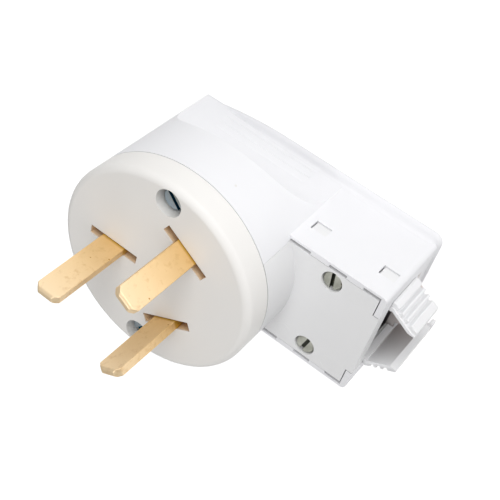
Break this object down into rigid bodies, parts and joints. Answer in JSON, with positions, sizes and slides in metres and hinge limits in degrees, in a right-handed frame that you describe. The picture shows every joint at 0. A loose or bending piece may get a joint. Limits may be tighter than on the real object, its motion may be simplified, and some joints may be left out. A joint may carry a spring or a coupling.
{
  "type": "cooker plug",
  "caption": "Right-angle flat-pin cooker plug with a round pin base, finger scoops, and a box arm with a screwed lid and ridged cord jaws.",
  "frame": {"origin": "centre of the flat face of the pin base that meets the socket", "axes": "+Z along the pins, out of the face; +X the way the cord leaves, along the arm; +Y across the arm. The plug stands on its flat back, pins up"},
  "size_m": [0.0954, 0.062, 0.0778],
  "materials": {
    "ivory_plastic": "satin moulded",
    "white_plastic": "satin moulded",
    "grey_plastic": "fine matt moulded",
    "jaw_plastic": "fine matt moulded",
    "brown_laminate": "cut laminate",
    "blade_brass": "drawn and tumbled",
    "terminal_brass": "machined",
    "zinc_steel": "blue zinc plated",
    "nickel_steel": "nickel plated",
    "rivet_metal": "set rivet"
  },
  "bodies": {
    "root": {"pin_base": "ivory_plastic", "blade_retainer": "brown_laminate", "retainer_rivets": "rivet_metal", "earth_blade": "blade_brass", "live_blade": "blade_brass", "neutral_blade": "blade_brass", "earth_terminal": "terminal_brass", "live_terminal": "terminal_brass", "neutral_terminal": "terminal_brass", "terminal_divider": "white_plastic", "base_inserts": "terminal_brass", "rear_cover": "white_plastic", "cord_lid": "grey_plastic", "cord_saddle": "grey_plastic"},
    "base_washer_upper": {"base_washer_upper": "zinc_steel"},
    "base_screw_upper": {"base_screw_upper": "zinc_steel"},
    "base_washer_lower": {"base_washer_lower": "zinc_steel"},
    "base_screw_lower": {"base_screw_lower": "zinc_steel"},
    "earth_clamp": {"earth_clamp": "zinc_steel"},
    "earth_screw": {"earth_screw": "zinc_steel"},
    "live_clamp": {"live_clamp": "zinc_steel"},
    "live_screw": {"live_screw": "zinc_steel"},
    "neutral_clamp": {"neutral_clamp": "zinc_steel"},
    "neutral_screw": {"neutral_screw": "zinc_steel"},
    "lid_screw_upper": {"lid_screw_upper": "nickel_steel"},
    "lid_screw_lower": {"lid_screw_lower": "nickel_steel"},
    "cord_clamp": {"cord_clamp": "grey_plastic", "clamp_nuts": "zinc_steel"},
    "cord_jaw_upper": {"cord_jaw_upper": "jaw_plastic"},
    "cord_jaw_lower": {"cord_jaw_lower": "jaw_plastic"}
  },
  "joints": [
    {"name": "base_screw_upper_travel", "type": "slide", "parent": "root", "child": "base_washer_upper", "axis": [0, 0, 1], "range_m": [0, 0.007]},
    {"name": "base_screw_upper_turn", "type": "hinge", "parent": "base_washer_upper", "child": "base_screw_upper", "pos_m": [0, 0.0254, -0.0054], "axis": [0, 0, 1], "range_deg": [0, 3601]},
    {"name": "base_screw_lower_travel", "type": "slide", "parent": "root", "child": "base_washer_lower", "axis": [0, 0, 1], "range_m": [0, 0.007]},
    {"name": "base_screw_lower_turn", "type": "hinge", "parent": "base_washer_lower", "child": "base_screw_lower", "pos_m": [0, -0.0254, -0.0054], "axis": [0, 0, 1], "range_deg": [0, 3601]},
    {"name": "earth_clamp_travel", "type": "slide", "parent": "root", "child": "earth_clamp", "axis": [0, 0, -1], "range_m": [0, 0.0042]},
    {"name": "earth_screw_turn", "type": "hinge", "parent": "earth_clamp", "child": "earth_screw", "pos_m": [-0.00545, 0, -0.0182], "axis": [0, 0, -1], "range_deg": [0, 2161]},
    {"name": "live_clamp_travel", "type": "slide", "parent": "root", "child": "live_clamp", "axis": [0, 0, -1], "range_m": [0, 0.0042]},
    {"name": "live_screw_turn", "type": "hinge", "parent": "live_clamp", "child": "live_screw", "pos_m": [0.00485, 0.0084, -0.0182], "axis": [0, 0, -1], "range_deg": [0, 2161]},
    {"name": "neutral_clamp_travel", "type": "slide", "parent": "root", "child": "neutral_clamp", "axis": [0, 0, -1], "range_m": [0, 0.0042]},
    {"name": "neutral_screw_turn", "type": "hinge", "parent": "neutral_clamp", "child": "neutral_screw", "pos_m": [0.00485, -0.0084, -0.0182], "axis": [0, 0, -1], "range_deg": [0, 2161]},
    {"name": "lid_screw_upper_turn", "type": "hinge", "parent": "root", "child": "lid_screw_upper", "pos_m": [0.04, 0.0132, -0.0238], "axis": [0, 0, -1], "range_deg": [0, 5041]},
    {"name": "lid_screw_lower_turn", "type": "hinge", "parent": "root", "child": "lid_screw_lower", "pos_m": [0.04, -0.0132, -0.0238], "axis": [0, 0, -1], "range_deg": [0, 5041]},
    {"name": "cord_clamp_travel", "type": "slide", "parent": "root", "child": "cord_clamp", "axis": [0, 0, 1], "range_m": [0, 0.007]},
    {"name": "cord_jaw_upper_flex", "type": "hinge", "parent": "root", "child": "cord_jaw_upper", "pos_m": [0.05, 0.01035, -0.0358], "axis": [0, 0, -1], "range_deg": [0, 8], "stiffness_Nm_per_rad": 0.05},
    {"name": "cord_jaw_lower_flex", "type": "hinge", "parent": "root", "child": "cord_jaw_lower", "pos_m": [0.05, -0.01035, -0.0358], "axis": [0, 0, 1], "range_deg": [0, 8], "stiffness_Nm_per_rad": 0.05}
  ],
  "couplings": [
    {"joint": "base_screw_upper_turn", "follows": "base_screw_upper_travel", "rad_per_m": 8976},
    {"joint": "base_screw_lower_turn", "follows": "base_screw_lower_travel", "rad_per_m": 8976},
    {"joint": "earth_screw_turn", "follows": "earth_clamp_travel", "rad_per_m": 8976},
    {"joint": "live_screw_turn", "follows": "live_clamp_travel", "rad_per_m": 8976},
    {"joint": "neutral_screw_turn", "follows": "neutral_clamp_travel", "rad_per_m": 8976},
    {"joint": "lid_screw_lower_turn", "follows": "cord_clamp_travel", "rad_per_m": 12566},
    {"joint": "lid_screw_upper_turn", "follows": "cord_clamp_travel", "rad_per_m": 12566}
  ]
}
